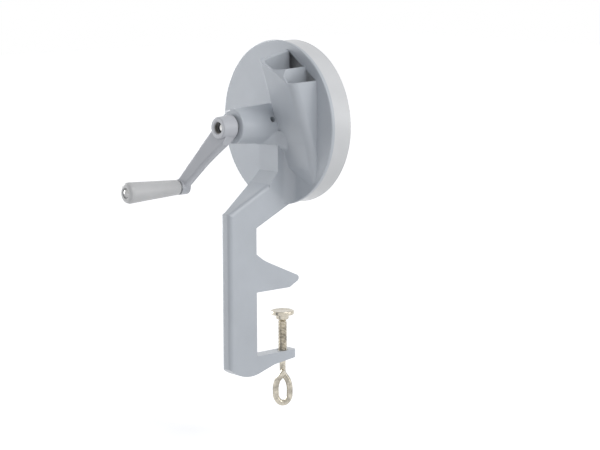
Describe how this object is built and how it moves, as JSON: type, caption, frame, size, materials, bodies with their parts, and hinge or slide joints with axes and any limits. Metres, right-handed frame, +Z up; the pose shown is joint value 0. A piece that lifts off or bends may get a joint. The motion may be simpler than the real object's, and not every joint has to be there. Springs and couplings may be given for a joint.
{
  "type": "hand cranked bean slicer",
  "caption": "Table-clamped bean slicer: a crank turns a drum-shaped knife wheel behind a round plate with two slanted feed chutes; a screw with a swivel pad clamps it.",
  "frame": {"origin": "middle of the jaw's flat underside, where the slicer rests on the table top", "axes": "X along the table's edge, +Y from the crank towards the knife wheel and in over the table, +Z up"},
  "size_m": [0.14, 0.1618, 0.3145],
  "materials": {
    "casting": "light blue-grey lacquer on a zinc casting",
    "crank": "light blue-grey lacquer",
    "wheel": "light blue-grey lacquer, turned rim",
    "grip": "smooth light grey moulded plastic",
    "rivet": "bright plated rivet head",
    "steel_shaft": "ground steel",
    "bush": "oil-soaked bronze bush",
    "washer": "zinc plated steel",
    "blade": "ground stainless knife steel",
    "hardware": "zinc plated steel",
    "screw": "nickel plated steel with cut thread",
    "pad": "nickel plated steel disc"
  },
  "bodies": {
    "frame": {"body_casting": "casting", "bearing_bush_rear": "bush", "bearing_bush_front": "bush"},
    "drive": {"drive_shaft": "steel_shaft", "drive_pin": "hardware", "thrust_washer": "washer", "crank_arm": "crank", "grip_washer_inner": "washer", "grip_washer_outer": "washer", "grip_pin": "rivet", "knife_wheel": "wheel", "knife_1": "blade", "knife_2": "blade", "knife_3": "blade", "knife_screws": "hardware", "wheel_washer": "washer", "spring_washer": "washer", "wheel_nut": "hardware"},
    "grip": {"crank_grip": "grip"},
    "pad": {"pressure_pad": "pad"},
    "screw": {"clamp_screw": "screw"}
  },
  "joints": [
    {"name": "crank_turn", "type": "hinge", "parent": "frame", "child": "drive", "pos_m": [-0.01025, 0.00185, 0.14], "axis": [0, 1, 0], "continuous": true},
    {"name": "grip_spin", "type": "hinge", "parent": "drive", "child": "grip", "pos_m": [-0.04915, -0.08615, 0.0877], "axis": [0, 1, 0], "continuous": true},
    {"name": "pad_travel", "type": "slide", "parent": "frame", "child": "pad", "axis": [0, 0, 1], "range_m": [-0.026, 0.004]},
    {"name": "screw_turn", "type": "hinge", "parent": "pad", "child": "screw", "pos_m": [0, 0.01505, -0.0254], "axis": [0, 0, 1], "range_deg": [-7488.1, 1152.1]}
  ],
  "couplings": [
    {"joint": "screw_turn", "follows": "pad_travel", "rad_per_m": 5026.5}
  ]
}
